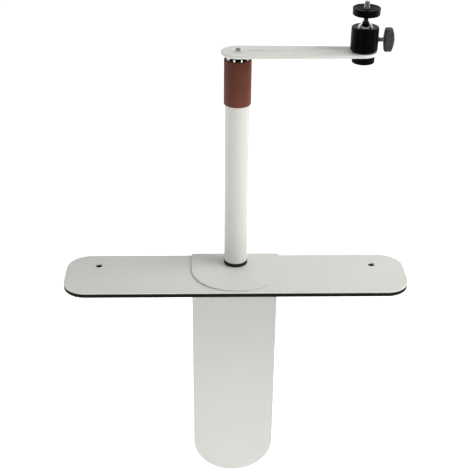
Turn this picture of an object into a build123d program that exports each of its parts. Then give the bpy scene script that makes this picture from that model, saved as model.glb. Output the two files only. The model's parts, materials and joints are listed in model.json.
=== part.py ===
from build123d import *
import os

# Overhead camera stand of a book scanner: a padded wing plate with an L-bracket
# hangs on the scanner's back edge, a post carries a swinging arm, and a small ball
# head on the arm holds the camera.
#
# Millimetres, +X right, +Y towards the back, +Z up. The origin is on the post's
# axis, in the plane of the rubber pad's underside.

os.makedirs("parts", exist_ok=True)

# ---------------------------------------------------------------- dimensions

# wing plate and rubber pad
WING_WIDTH = 415.0
WING_DEPTH = 87.0
WING_CORNER_R = 28.0
WING_BACK_Y = 19.5
PAD_THICK = 4.75
PLATE_THICK = 2.0
WING_HOLE_R = 4.5
WING_HOLE_SPACING = 337.0
WING_HOLE_Y = -4.5

# bent sheet bracket
SHEET_THICK = 2.0
BRACKET_WIDTH = 109.0
BEND_INNER_R = 1.5
SHEET_EDGE_R = 0.5
FLANGE_FRONT_Y = -65.5
FLANGE_CORNER_R = 50.0
TONGUE_BOTTOM_Z = -349.75
BRACKET_SCREW_X = 36.0
BRACKET_SCREW_Y = (-40.0, 4.0)
BRACKET_SCREW_R = 2.0
BRACKET_SCREW_DEPTH = 1.6

# post
TUBE_R = 14.0
TUBE_BORE_R = 12.0
TUBE_TOP_Z = 263.25
FOOT_RING_R = 14.3
FOOT_RING_HEIGHT = 5.0
PLUG_NECK_R = 11.4
PLUG_HEIGHT = 34.0
BASE_BOLT_R = 4.0
BASE_BOLT_HEAD_R = 6.5
BASE_BOLT_HEAD_HEIGHT = 2.5
SLEEVE_R = 15.6
SLEEVE_BORE_R = 14.05
SLEEVE_BOTTOM_Z = 218.25
SLEEVE_TOP_Z = 271.25

# swivel at the top of the post
HOUSING_BORE_R = 8.0
BUSH_BORE_R = 6.0
SPINDLE_R = 5.95
BUSH_FLANGE_R = 11.0
BUSH_FLANGE_THICK = 1.0
BOSS_R = 12.5
BOSS_FOOT_R = 13.0
BOSS_FOOT_TOP_Z = 273.25
TURNING_GAP = 0.05

# swinging arm
ARM_BOTTOM_Z = 276.35
ARM_THICK = 4.0
ARM_REACH = 139.75
ARM_PIVOT_END_R = 19.0
ARM_HEAD_END_R = 16.4
ARM_HEAD_END_X = 138.55
ARM_TOP_EDGE_R = 1.2
ARM_LOWER_EDGE_R = 1.85
SLOT_R = 3.3
SLOT_START_X = 12.8
DOWEL_R = 1.5
DOWEL_Y = 8.5
PIVOT_SCREW_R = 3.0
PIVOT_HEAD_R = 6.3
PIVOT_HEAD_HEIGHT = 2.6

# clamp under the arm
CLAMP_THREAD_R = 3.0
CLAMP_HOLE_R = 3.3
SLOT_WASHER_R = 11.0
THUMB_KNOB_R = 12.7
THUMB_KNOB_HEIGHT = 7.8
THUMB_FLUTES = 30

# ball head
HEAD_R = 15.3
HEAD_HEIGHT = 27.8
HEAD_STEP_R = 12.2
HEAD_STEP_HEIGHT = 0.9
HEAD_BEVEL_WIDTH = 1.0
HEAD_BEVEL_HEIGHT = 1.5
BALL_R = 9.5
BALL_CENTRE_Z = 303.65
BALL_SEAT_R = BALL_R + TURNING_GAP
MOUTH_RING_R = 11.8
MOUTH_RING_BOTTOM_Z = 302.15
CAVITY_R = 10.2
CAVITY_BOTTOM_Z = 290.85
STEM_FOOT_R = 4.0
STEM_WAIST_R = 2.5
STEM_TOP_R = 2.8
PLATFORM_R = 15.4
PLATFORM_BOTTOM_Z = 321.45
PLATFORM_TOP_Z = 329.45
PLATFORM_RECESS_R = 13.2
PLATFORM_RECESS_DEPTH = 1.6
CAMERA_THREAD_R = 3.175
CAMERA_STUD_NECK_R = 2.5
STUD_TOP_Z = 336.55

# lock screw and paddle knob at the ball head's side
LOCK_Z = 293.35
LOCK_SCREW_R = 2.7
LOCK_KNOB_START = 20.9
LOCK_KNOB_WIDTH = 12.0
LOCK_KNOB_INNER_INSET = 1.4
LOCK_KNOB_OUTER_INSET = 2.6
LOCK_KNOB_LENGTH = 25.4
LOCK_KNOB_END_R = 1.2
LOCK_KNOB_THICK = 10.6
LOCK_HUB_R = 6.0

# ------------------------------------------------- heights that follow from them

PLATE_TOP_Z = PAD_THICK + PLATE_THICK
FLANGE_TOP_Z = PLATE_TOP_Z + SHEET_THICK
TUBE_BOTTOM_Z = FLANGE_TOP_Z + FOOT_RING_HEIGHT
ARM_TOP_Z = ARM_BOTTOM_Z + ARM_THICK
HEAD_BOTTOM_Z = ARM_TOP_Z + TURNING_GAP
HEAD_SKIRT_Z = HEAD_BOTTOM_Z + HEAD_STEP_HEIGHT
HEAD_TOP_Z = HEAD_BOTTOM_Z + HEAD_HEIGHT

POST_AXIS = Axis.Z
HEAD_AXIS = Axis((ARM_REACH, 0, 0), (0, 0, 1))
HEAD_PROFILE_PLANE = Plane(origin=(ARM_REACH, 0, 0), x_dir=(1, 0, 0), z_dir=(0, -1, 0))
LOCK_PLANE = Plane(origin=(ARM_REACH, 0, LOCK_Z), x_dir=(0, 1, 0), z_dir=(1, 0, 0))
BRACKET_SCREWS = [(x, y) for x in (-BRACKET_SCREW_X, BRACKET_SCREW_X) for y in BRACKET_SCREW_Y]
UP = (Align.CENTER, Align.CENTER, Align.MIN)


def save(piece, label):
    """Name a finished piece and write its STEP file."""
    piece.part.label = label
    export_step(piece.part, f"parts/{label}.step")


def profile(points, plane=Plane.XZ):
    """A closed (radius, height) outline for a turned piece, drawn on the given plane."""
    with BuildSketch(plane) as outline:
        with BuildLine():
            Polyline(*points, close=True)
        make_face()
    return outline.sketch


def tube_profile(inner_r, outer_r, bottom, top, plane=Plane.XZ):
    """The outline of a plain ring or bush."""
    return profile([(inner_r, bottom), (outer_r, bottom), (outer_r, top), (inner_r, top)], plane)


# ------------------------------------------------------------ wing and rubber pad

WING_CENTRE = (0, WING_BACK_Y - WING_DEPTH / 2)
WING_HOLES = [(x, WING_HOLE_Y) for x in (-WING_HOLE_SPACING / 2, WING_HOLE_SPACING / 2)]

with BuildPart() as rubber_pad:
    with BuildSketch():
        with Locations(WING_CENTRE):
            RectangleRounded(WING_WIDTH, WING_DEPTH, WING_CORNER_R)
        with Locations(*WING_HOLES):
            Circle(WING_HOLE_R, mode=Mode.SUBTRACT)
    extrude(amount=PAD_THICK)
    # pocket over the base bolt's head, open towards the plate only
    with BuildSketch(Plane.XY.offset(PAD_THICK)):
        Circle(BASE_BOLT_HEAD_R + 1.0)
    extrude(amount=-(BASE_BOLT_HEAD_HEIGHT + 0.1), mode=Mode.SUBTRACT)
save(rubber_pad, "rubber_pad")

with BuildPart() as wing_plate:
    with BuildSketch(Plane.XY.offset(PAD_THICK)):
        with Locations(WING_CENTRE):
            RectangleRounded(WING_WIDTH, WING_DEPTH, WING_CORNER_R)
        with Locations(*WING_HOLES):
            Circle(WING_HOLE_R, mode=Mode.SUBTRACT)
        Circle(BASE_BOLT_R + 0.1, mode=Mode.SUBTRACT)
    extrude(amount=PLATE_THICK)
    fillet(wing_plate.faces().sort_by(Axis.Z)[-1].outer_wire().edges(), 0.6)
    with Locations(Plane(origin=(0, 0, PAD_THICK), x_dir=(1, 0, 0), z_dir=(0, 0, -1))):
        with Locations(*[(x, -y) for x, y in BRACKET_SCREWS]):
            CounterSinkHole(BRACKET_SCREW_R, 2 * BRACKET_SCREW_R, PLATE_THICK, 90)
save(wing_plate, "wing_plate")

# ---------------------------------------------------------------------- L-bracket

BEND_Y = WING_BACK_Y
BEND_Z = PLATE_TOP_Z - BEND_INNER_R
BEND_OUTER_R = BEND_INNER_R + SHEET_THICK
TONGUE_FRONT_Y = BEND_Y + BEND_INNER_R
TONGUE_BACK_Y = BEND_Y + BEND_OUTER_R
HALF_BRACKET = BRACKET_WIDTH / 2
TONGUE_END_Z = TONGUE_BOTTOM_Z + HALF_BRACKET

with BuildPart() as l_bracket:
    # flange outline, seen from above
    with BuildSketch(Plane.XY.offset(BEND_Z)):
        with BuildLine():
            corner_x = HALF_BRACKET - FLANGE_CORNER_R
            corner_y = FLANGE_FRONT_Y + FLANGE_CORNER_R
            right = Line((HALF_BRACKET, BEND_Y), (HALF_BRACKET, corner_y))
            CenterArc((corner_x, corner_y), FLANGE_CORNER_R, 0, -90)
            Line((corner_x, FLANGE_FRONT_Y), (-corner_x, FLANGE_FRONT_Y))
            CenterArc((-corner_x, corner_y), FLANGE_CORNER_R, -90, -90)
            Polyline((-HALF_BRACKET, corner_y), (-HALF_BRACKET, BEND_Y), right @ 0)
        make_face()
    extrude(amount=FLANGE_TOP_Z - BEND_Z)
    # tongue outline with its round end, seen from behind, and the bend above it
    with BuildSketch(Plane.XZ.offset(-BEND_Y)):
        with Locations((0, TONGUE_END_Z)):
            Circle(HALF_BRACKET)
        with Locations((0, (FLANGE_TOP_Z + TONGUE_END_Z) / 2)):
            Rectangle(BRACKET_WIDTH, FLANGE_TOP_Z - TONGUE_END_Z)
    extrude(amount=-BEND_OUTER_R)
    # the sheet itself, seen from the side
    with BuildSketch(Plane.YZ):
        with BuildLine():
            Line((FLANGE_FRONT_Y, FLANGE_TOP_Z), (BEND_Y, FLANGE_TOP_Z))
            CenterArc((BEND_Y, BEND_Z), BEND_OUTER_R, 90, -90)
            Line((TONGUE_BACK_Y, BEND_Z), (TONGUE_BACK_Y, TONGUE_BOTTOM_Z))
            Line((TONGUE_BACK_Y, TONGUE_BOTTOM_Z), (TONGUE_FRONT_Y, TONGUE_BOTTOM_Z))
            Line((TONGUE_FRONT_Y, TONGUE_BOTTOM_Z), (TONGUE_FRONT_Y, BEND_Z))
            CenterArc((BEND_Y, BEND_Z), BEND_INNER_R, 0, 90)
            Line((BEND_Y, PLATE_TOP_Z), (FLANGE_FRONT_Y, PLATE_TOP_Z))
            Line((FLANGE_FRONT_Y, PLATE_TOP_Z), (FLANGE_FRONT_Y, FLANGE_TOP_Z))
        make_face()
    extrude(amount=HALF_BRACKET, both=True, mode=Mode.INTERSECT)
    # rounded sheet edges: all but the lines across the bend and through the sheet
    outline = l_bracket.edges().filter_by(lambda edge: abs(edge.length - SHEET_THICK) > 0.01)
    across = outline.filter_by(Axis.X).filter_by(lambda edge: abs(edge.length - BRACKET_WIDTH) < 0.01)
    fillet(outline - across, SHEET_EDGE_R)
    with BuildSketch(Plane.XY.offset(PLATE_TOP_Z)):
        Circle(BASE_BOLT_R + 0.1)
    extrude(amount=SHEET_THICK, mode=Mode.SUBTRACT)
    with BuildSketch(Plane.XY.offset(PLATE_TOP_Z)):
        with Locations(*BRACKET_SCREWS):
            Circle(BRACKET_SCREW_R)
    extrude(amount=BRACKET_SCREW_DEPTH, mode=Mode.SUBTRACT)
save(l_bracket, "l_bracket")

with BuildPart() as bracket_screws:
    with Locations(*[(x, y, PAD_THICK) for x, y in BRACKET_SCREWS]):
        Cone(2 * BRACKET_SCREW_R, BRACKET_SCREW_R, PLATE_THICK, align=UP)
        Cylinder(BRACKET_SCREW_R, PLATE_THICK + BRACKET_SCREW_DEPTH, align=UP)
    with BuildSketch(Plane.XY.offset(PAD_THICK)):
        with Locations(*BRACKET_SCREWS):
            RegularPolygon(1.4, 6)
    extrude(amount=1.2, mode=Mode.SUBTRACT)
save(bracket_screws, "bracket_screws")

# --------------------------------------------------------------------------- post

PLUG_TOP_Z = FLANGE_TOP_Z + PLUG_HEIGHT

with BuildPart() as foot_ring:
    revolve(tube_profile(PLUG_NECK_R, FOOT_RING_R, FLANGE_TOP_Z, TUBE_BOTTOM_Z), axis=POST_AXIS)
    fillet(foot_ring.edges().filter_by(GeomType.CIRCLE).sort_by(SortBy.RADIUS)[-2:], 0.4)
save(foot_ring, "foot_ring")

with BuildPart() as base_plug:
    revolve(
        profile([
            (0, FLANGE_TOP_Z), (PLUG_NECK_R, FLANGE_TOP_Z), (PLUG_NECK_R, TUBE_BOTTOM_Z),
            (TUBE_BORE_R, TUBE_BOTTOM_Z), (TUBE_BORE_R, PLUG_TOP_Z - 1), (TUBE_BORE_R - 1, PLUG_TOP_Z),
            (0, PLUG_TOP_Z),
        ]),
        axis=POST_AXIS,
    )
    with BuildSketch(Plane.XY.offset(FLANGE_TOP_Z)):
        Circle(BASE_BOLT_R)
    extrude(amount=PLUG_HEIGHT - 8, mode=Mode.SUBTRACT)
save(base_plug, "base_plug")

with BuildPart() as base_bolt:
    with BuildSketch(Plane.XY.offset(PAD_THICK - BASE_BOLT_HEAD_HEIGHT)):
        Circle(BASE_BOLT_HEAD_R)
    extrude(amount=BASE_BOLT_HEAD_HEIGHT)
    chamfer(base_bolt.edges().group_by(Axis.Z)[0], 0.4)
    with BuildSketch(Plane.XY.offset(PAD_THICK)):
        Circle(BASE_BOLT_R)
    extrude(amount=PLUG_HEIGHT - 6)
    chamfer(base_bolt.edges().group_by(Axis.Z)[-1], 0.6)
    with BuildSketch(Plane.XY.offset(PAD_THICK - BASE_BOLT_HEAD_HEIGHT)):
        RegularPolygon(2.9, 6)
    extrude(amount=1.8, mode=Mode.SUBTRACT)
save(base_bolt, "base_bolt")

with BuildPart() as post_tube:
    revolve(tube_profile(TUBE_BORE_R, TUBE_R, TUBE_BOTTOM_Z, TUBE_TOP_Z), axis=POST_AXIS)
save(post_tube, "post_tube")

with BuildPart() as grip_sleeve:
    revolve(
        profile([
            (SLEEVE_BORE_R, SLEEVE_BOTTOM_Z), (SLEEVE_R - 0.4, SLEEVE_BOTTOM_Z), (SLEEVE_R, SLEEVE_BOTTOM_Z + 0.4),
            (SLEEVE_R, SLEEVE_TOP_Z - 0.8), (SLEEVE_R - 0.8, SLEEVE_TOP_Z), (SLEEVE_BORE_R, SLEEVE_TOP_Z),
        ]),
        axis=POST_AXIS,
    )
save(grip_sleeve, "grip_sleeve")

# ------------------------------------------------------ swivel inside the post's top

HOUSING_BOTTOM_Z = 227.25
HOUSING_FLANGE_THICK = 5.0
HOUSING_TOP_Z = TUBE_TOP_Z + HOUSING_FLANGE_THICK
BUSH_LENGTH = 12.0
WASHER_BOTTOM_Z = HOUSING_TOP_Z + BUSH_FLANGE_THICK
WASHER_TOP_Z = WASHER_BOTTOM_Z + 1.4
BOSS_BOTTOM_Z = WASHER_TOP_Z + TURNING_GAP
SPINDLE_BOTTOM_Z = 218.25
RING_GROOVE_Z = 220.85
RING_THICK = 1.0
RING_GROOVE_R = 5.2
SPRING_BOTTOM_Z = RING_GROOVE_Z + RING_THICK
SPRING_HEIGHT = 1.4
THRUST_WASHER_Z = SPRING_BOTTOM_Z + 2 * SPRING_HEIGHT
THRUST_WASHER_TOP_Z = HOUSING_BOTTOM_Z - BUSH_FLANGE_THICK - TURNING_GAP

with BuildPart() as spindle_housing:
    revolve(
        profile([
            (HOUSING_BORE_R, HOUSING_BOTTOM_Z), (TUBE_BORE_R - 1, HOUSING_BOTTOM_Z),
            (TUBE_BORE_R, HOUSING_BOTTOM_Z + 1), (TUBE_BORE_R, TUBE_TOP_Z), (TUBE_R - 0.1, TUBE_TOP_Z),
            (TUBE_R - 0.1, HOUSING_TOP_Z), (HOUSING_BORE_R, HOUSING_TOP_Z),
        ]),
        axis=POST_AXIS,
    )
save(spindle_housing, "spindle_housing")

with BuildPart() as upper_bush:
    revolve(
        profile([
            (BUSH_BORE_R, HOUSING_TOP_Z - BUSH_LENGTH), (HOUSING_BORE_R, HOUSING_TOP_Z - BUSH_LENGTH),
            (HOUSING_BORE_R, HOUSING_TOP_Z), (BUSH_FLANGE_R, HOUSING_TOP_Z),
            (BUSH_FLANGE_R, WASHER_BOTTOM_Z), (BUSH_BORE_R, WASHER_BOTTOM_Z),
        ]),
        axis=POST_AXIS,
    )
save(upper_bush, "upper_bush")

with BuildPart() as lower_bush:
    revolve(
        profile([
            (BUSH_BORE_R, HOUSING_BOTTOM_Z + BUSH_LENGTH), (HOUSING_BORE_R, HOUSING_BOTTOM_Z + BUSH_LENGTH),
            (HOUSING_BORE_R, HOUSING_BOTTOM_Z), (BUSH_FLANGE_R - 0.5, HOUSING_BOTTOM_Z),
            (BUSH_FLANGE_R - 0.5, HOUSING_BOTTOM_Z - BUSH_FLANGE_THICK),
            (BUSH_BORE_R, HOUSING_BOTTOM_Z - BUSH_FLANGE_THICK),
        ]),
        axis=POST_AXIS,
    )
save(lower_bush, "lower_bush")

with BuildPart() as friction_washer:
    revolve(tube_profile(SPINDLE_R + 0.3, BOSS_R - 0.3, WASHER_BOTTOM_Z, WASHER_TOP_Z), axis=POST_AXIS)
save(friction_washer, "friction_washer")

with BuildPart() as swivel_spindle:
    revolve(
        profile([
            (0, SPINDLE_BOTTOM_Z), (SPINDLE_R - 0.8, SPINDLE_BOTTOM_Z), (SPINDLE_R, SPINDLE_BOTTOM_Z + 0.8),
            (SPINDLE_R, RING_GROOVE_Z), (RING_GROOVE_R, RING_GROOVE_Z),
            (RING_GROOVE_R, RING_GROOVE_Z + RING_THICK), (SPINDLE_R, RING_GROOVE_Z + RING_THICK),
            (SPINDLE_R, BOSS_BOTTOM_Z), (BOSS_FOOT_R - 0.5, BOSS_BOTTOM_Z), (BOSS_FOOT_R, BOSS_BOTTOM_Z + 0.5),
            (BOSS_FOOT_R, SLEEVE_TOP_Z), (BOSS_R, BOSS_FOOT_TOP_Z), (BOSS_R, ARM_BOTTOM_Z - 0.5),
            (BOSS_R - 0.5, ARM_BOTTOM_Z), (0, ARM_BOTTOM_Z),
        ]),
        axis=POST_AXIS,
    )
    with BuildSketch(Plane.XY.offset(ARM_BOTTOM_Z)):
        Circle(PIVOT_SCREW_R)
    extrude(amount=-14, mode=Mode.SUBTRACT)
    with BuildSketch(Plane.XY.offset(ARM_BOTTOM_Z)):
        with Locations((0, -DOWEL_Y), (0, DOWEL_Y)):
            Circle(DOWEL_R)
    extrude(amount=-5, mode=Mode.SUBTRACT)
save(swivel_spindle, "swivel_spindle")

with BuildPart() as retaining_ring:
    revolve(tube_profile(RING_GROOVE_R, SPINDLE_R + 3, RING_GROOVE_Z, SPRING_BOTTOM_Z), axis=POST_AXIS)
    with BuildSketch(Plane.XY.offset(RING_GROOVE_Z)):
        with Locations((0, -SPINDLE_R)):
            Rectangle(6, 2 * SPINDLE_R)
    extrude(amount=RING_THICK, mode=Mode.SUBTRACT)
save(retaining_ring, "retaining_ring")

# two cupped spring washers, rim to rim
with BuildPart() as disc_springs:
    for base, rise in ((SPRING_BOTTOM_Z, 1), (THRUST_WASHER_Z, -1)):
        inner, outer, leaf = SPINDLE_R + 0.2, BUSH_FLANGE_R - 1.5, 0.5
        low = base + rise * leaf
        high = base + rise * SPRING_HEIGHT
        revolve(
            profile([(inner, base), (outer, high - rise * leaf), (outer, high), (inner, low)]),
            axis=POST_AXIS,
        )
save(disc_springs, "disc_springs")

with BuildPart() as thrust_washer:
    revolve(
        tube_profile(SPINDLE_R + 0.1, BUSH_FLANGE_R - 1, THRUST_WASHER_Z, THRUST_WASHER_TOP_Z),
        axis=POST_AXIS,
    )
save(thrust_washer, "thrust_washer")

# -------------------------------------------------------------------- swinging arm

with BuildPart() as swing_arm:
    with BuildSketch(Plane.XY.offset(ARM_BOTTOM_Z)):
        # tapered bar with two round ends: the hull of its end circles
        Circle(ARM_PIVOT_END_R)
        with Locations((ARM_HEAD_END_X, 0)):
            Circle(ARM_HEAD_END_R)
        make_hull()
    extrude(amount=ARM_THICK)
    fillet(swing_arm.edges().group_by(Axis.Z)[-1], ARM_TOP_EDGE_R)
    fillet(swing_arm.edges().group_by(Axis.Z)[0], ARM_LOWER_EDGE_R)
    with BuildSketch(Plane.XY.offset(ARM_BOTTOM_Z)):
        Circle(PIVOT_SCREW_R + 0.2)
        with Locations(((SLOT_START_X + ARM_REACH) / 2, 0)):
            SlotCenterToCenter(ARM_REACH - SLOT_START_X, 2 * SLOT_R)
    extrude(amount=ARM_THICK, mode=Mode.SUBTRACT)
    with BuildSketch(Plane.XY.offset(ARM_BOTTOM_Z)):
        with Locations((0, -DOWEL_Y), (0, DOWEL_Y)):
            Circle(DOWEL_R)
    extrude(amount=ARM_THICK - 1, mode=Mode.SUBTRACT)
save(swing_arm, "swing_arm")

with BuildPart() as dowel_pins:
    with Locations((0, -DOWEL_Y, ARM_BOTTOM_Z - 5), (0, DOWEL_Y, ARM_BOTTOM_Z - 5)):
        Cylinder(DOWEL_R, ARM_THICK + 4, align=UP)
save(dowel_pins, "dowel_pins")

with BuildPart() as pivot_screw:
    head_top = ARM_TOP_Z + PIVOT_HEAD_HEIGHT
    with BuildSketch(Plane.XZ):
        with BuildLine():
            Polyline(
                (0, head_top), (0, ARM_BOTTOM_Z - 12), (PIVOT_SCREW_R - 0.5, ARM_BOTTOM_Z - 12),
                (PIVOT_SCREW_R, ARM_BOTTOM_Z - 11.5), (PIVOT_SCREW_R, ARM_TOP_Z), (PIVOT_HEAD_R, ARM_TOP_Z),
                (PIVOT_HEAD_R, ARM_TOP_Z + 0.6),
            )
            SagittaArc((PIVOT_HEAD_R, ARM_TOP_Z + 0.6), (2.9, head_top), 0.5)
            Line((2.9, head_top), (0, head_top))
        make_face()
    revolve(axis=POST_AXIS)
    with BuildSketch(Plane.XY.offset(head_top)):
        RegularPolygon(2.3, 6)
    extrude(amount=-2.0, mode=Mode.SUBTRACT)
save(pivot_screw, "pivot_screw")

# ------------------------------------------------------- clamp that runs in the slot

SLOT_WASHER_TOP_Z = ARM_BOTTOM_Z - TURNING_GAP
SLOT_WASHER_THICK = 1.0
THUMB_TOP_Z = SLOT_WASHER_TOP_Z - SLOT_WASHER_THICK - TURNING_GAP
THUMB_BOTTOM_Z = THUMB_TOP_Z - THUMB_KNOB_HEIGHT
CLAMP_STUD_TOP_Z = CAVITY_BOTTOM_Z - 1.2

with BuildPart() as slot_washer:
    with BuildSketch(Plane.XY.offset(SLOT_WASHER_TOP_Z)):
        with Locations((ARM_REACH, 0)):
            Circle(SLOT_WASHER_R)
            Circle(CLAMP_HOLE_R, mode=Mode.SUBTRACT)
    extrude(amount=-SLOT_WASHER_THICK)
    # guide key: keeps the washer from turning in the slot
    with BuildSketch(Plane.XY.offset(SLOT_WASHER_TOP_Z)):
        with Locations((ARM_REACH - 6.6, 0)):
            Rectangle(4.8, 2 * SLOT_R - 0.4)
    extrude(amount=2.6)
save(slot_washer, "slot_washer")

with BuildPart() as thumb_knob:
    revolve(
        profile([
            (0, THUMB_BOTTOM_Z), (THUMB_KNOB_R - 1.2, THUMB_BOTTOM_Z), (THUMB_KNOB_R, THUMB_BOTTOM_Z + 1.2),
            (THUMB_KNOB_R, THUMB_TOP_Z - 0.8), (THUMB_KNOB_R - 0.8, THUMB_TOP_Z), (0, THUMB_TOP_Z),
        ], HEAD_PROFILE_PLANE),
        axis=HEAD_AXIS,
    )
    with BuildSketch(Plane.XY.offset(THUMB_BOTTOM_Z)):
        with Locations((ARM_REACH, 0)):
            with PolarLocations(THUMB_KNOB_R + 0.35, THUMB_FLUTES):
                Circle(0.8)
    extrude(amount=THUMB_KNOB_HEIGHT, mode=Mode.SUBTRACT)
    with BuildSketch(Plane.XY.offset(THUMB_TOP_Z)):
        with Locations((ARM_REACH, 0)):
            Circle(CLAMP_THREAD_R)
    extrude(amount=-(THUMB_KNOB_HEIGHT - 1.2), mode=Mode.SUBTRACT)
save(thumb_knob, "thumb_knob")

with BuildPart() as clamp_stud:
    with BuildSketch(Plane.XY.offset(THUMB_BOTTOM_Z + 1.2)):
        with Locations((ARM_REACH, 0)):
            Circle(CLAMP_THREAD_R)
    extrude(amount=CLAMP_STUD_TOP_Z - THUMB_BOTTOM_Z - 1.2)
    chamfer(clamp_stud.edges().group_by(Axis.Z)[-1], 0.6)
save(clamp_stud, "clamp_stud")

# ----------------------------------------------------------------------- ball head

with BuildPart() as head_housing:
    revolve(
        profile([
            (0, HEAD_BOTTOM_Z), (HEAD_STEP_R, HEAD_BOTTOM_Z), (HEAD_STEP_R, HEAD_SKIRT_Z),
            (HEAD_R - HEAD_BEVEL_WIDTH, HEAD_SKIRT_Z), (HEAD_R, HEAD_SKIRT_Z + HEAD_BEVEL_HEIGHT),
            (HEAD_R, HEAD_TOP_Z - 1.4),
            (HEAD_R - 0.5, HEAD_TOP_Z - 0.4), (HEAD_R - 1.5, HEAD_TOP_Z), (MOUTH_RING_R, HEAD_TOP_Z),
            (MOUTH_RING_R, MOUTH_RING_BOTTOM_Z), (CAVITY_R, MOUTH_RING_BOTTOM_Z),
            (CAVITY_R, CAVITY_BOTTOM_Z), (0, CAVITY_BOTTOM_Z),
        ], HEAD_PROFILE_PLANE),
        axis=HEAD_AXIS,
    )
    with BuildSketch(Plane.XY.offset(HEAD_BOTTOM_Z)):
        with Locations((ARM_REACH, 0)):
            Circle(CLAMP_THREAD_R + TURNING_GAP)
    extrude(amount=CLAMP_STUD_TOP_Z + 0.4 - HEAD_BOTTOM_Z, mode=Mode.SUBTRACT)
    with BuildSketch(LOCK_PLANE):
        Circle(LOCK_SCREW_R + TURNING_GAP)
    extrude(amount=HEAD_R + 1, mode=Mode.SUBTRACT)
save(head_housing, "head_housing")

with BuildPart() as mouth_ring:
    revolve(
        profile([
            (6.0, MOUTH_RING_BOTTOM_Z), (MOUTH_RING_R, MOUTH_RING_BOTTOM_Z), (MOUTH_RING_R, HEAD_TOP_Z),
            (MOUTH_RING_R - 0.9, HEAD_TOP_Z), (6.0, HEAD_TOP_Z - 1.2),
        ], HEAD_PROFILE_PLANE),
        axis=HEAD_AXIS,
    )
    with Locations((ARM_REACH, 0, BALL_CENTRE_Z)):
        Sphere(BALL_SEAT_R, mode=Mode.SUBTRACT)
save(mouth_ring, "mouth_ring")

with BuildPart() as brake_cup:
    revolve(
        tube_profile(0, CAVITY_R, CAVITY_BOTTOM_Z, BALL_CENTRE_Z - 3.6, HEAD_PROFILE_PLANE),
        axis=HEAD_AXIS,
    )
    with Locations((ARM_REACH, 0, BALL_CENTRE_Z)):
        Sphere(BALL_SEAT_R, mode=Mode.SUBTRACT)
    with BuildSketch(LOCK_PLANE.offset(4.4)):
        Circle(LOCK_SCREW_R + 0.3)
    extrude(amount=CAVITY_R, mode=Mode.SUBTRACT)
save(brake_cup, "brake_cup")

with BuildPart() as ball:
    with Locations((ARM_REACH, 0, BALL_CENTRE_Z)):
        Sphere(BALL_R)
save(ball, "ball")

BALL_TOP_Z = BALL_CENTRE_Z + BALL_R

with BuildPart() as ball_stem:
    with BuildSketch(HEAD_PROFILE_PLANE):
        with BuildLine():
            foot = Polyline((0, BALL_TOP_Z - 2), (STEM_FOOT_R, BALL_TOP_Z - 2), (STEM_FOOT_R, BALL_TOP_Z + 0.2))
            waist = Spline(
                foot @ 1, (STEM_WAIST_R, BALL_TOP_Z + 2.8), (STEM_TOP_R, BALL_TOP_Z + 5.6),
                tangents=((-1, 0.4), (0, 1)),
            )
            Polyline(
                waist @ 1, (STEM_TOP_R, PLATFORM_BOTTOM_Z + 3), (0, PLATFORM_BOTTOM_Z + 3), foot @ 0,
            )
        make_face()
    revolve(axis=HEAD_AXIS)
    with Locations((ARM_REACH, 0, BALL_CENTRE_Z)):
        Sphere(BALL_SEAT_R, mode=Mode.SUBTRACT)
save(ball_stem, "ball_stem")

RECESS_BOTTOM_Z = PLATFORM_TOP_Z - PLATFORM_RECESS_DEPTH
STUD_SOCKET_Z = PLATFORM_BOTTOM_Z + 3.2
PAD_TOP_Z = PLATFORM_TOP_Z - 0.3

with BuildPart() as platform:
    revolve(
        profile([
            (STEM_TOP_R + TURNING_GAP, PLATFORM_BOTTOM_Z), (PLATFORM_R - 0.9, PLATFORM_BOTTOM_Z),
            (PLATFORM_R - 0.3, PLATFORM_BOTTOM_Z + 0.6), (PLATFORM_R - 0.3, PLATFORM_TOP_Z - 1.9),
            (PLATFORM_R, PLATFORM_TOP_Z - 1.6), (PLATFORM_R, PLATFORM_TOP_Z - 0.4),
            (PLATFORM_R - 0.4, PLATFORM_TOP_Z), (PLATFORM_RECESS_R, PLATFORM_TOP_Z),
            (PLATFORM_RECESS_R, RECESS_BOTTOM_Z), (CAMERA_STUD_NECK_R, RECESS_BOTTOM_Z),
            (CAMERA_STUD_NECK_R, STUD_SOCKET_Z), (STEM_TOP_R + TURNING_GAP, STUD_SOCKET_Z),
        ], HEAD_PROFILE_PLANE),
        axis=HEAD_AXIS,
    )
save(platform, "platform")

with BuildPart() as platform_pad:
    revolve(
        tube_profile(
            CAMERA_THREAD_R + 0.5, PLATFORM_RECESS_R - 0.1, RECESS_BOTTOM_Z, PAD_TOP_Z, HEAD_PROFILE_PLANE,
        ),
        axis=HEAD_AXIS,
    )
save(platform_pad, "platform_pad")

# a neck pressed into the platform, and the camera thread from the pad's top upwards
with BuildPart() as camera_stud:
    revolve(
        profile([
            (0, STUD_SOCKET_Z), (CAMERA_STUD_NECK_R, STUD_SOCKET_Z), (CAMERA_STUD_NECK_R, PAD_TOP_Z),
            (CAMERA_THREAD_R, PAD_TOP_Z), (CAMERA_THREAD_R, STUD_TOP_Z - 0.6),
            (CAMERA_THREAD_R - 0.6, STUD_TOP_Z), (0, STUD_TOP_Z),
        ], HEAD_PROFILE_PLANE),
        axis=HEAD_AXIS,
    )
save(camera_stud, "camera_stud")

# ------------------------------------------------- lock screw and its paddle knob

LOCK_TIP = 4.8
LOCK_SCREW_END = LOCK_KNOB_START + 7.6

with BuildPart() as lock_screw:
    with BuildSketch(LOCK_PLANE.offset(LOCK_TIP)):
        Circle(LOCK_SCREW_R)
    extrude(amount=LOCK_SCREW_END - LOCK_TIP)
    chamfer(lock_screw.edges().group_by(Axis.X)[0], LOCK_SCREW_R - 0.3)
save(lock_screw, "lock_screw")

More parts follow.
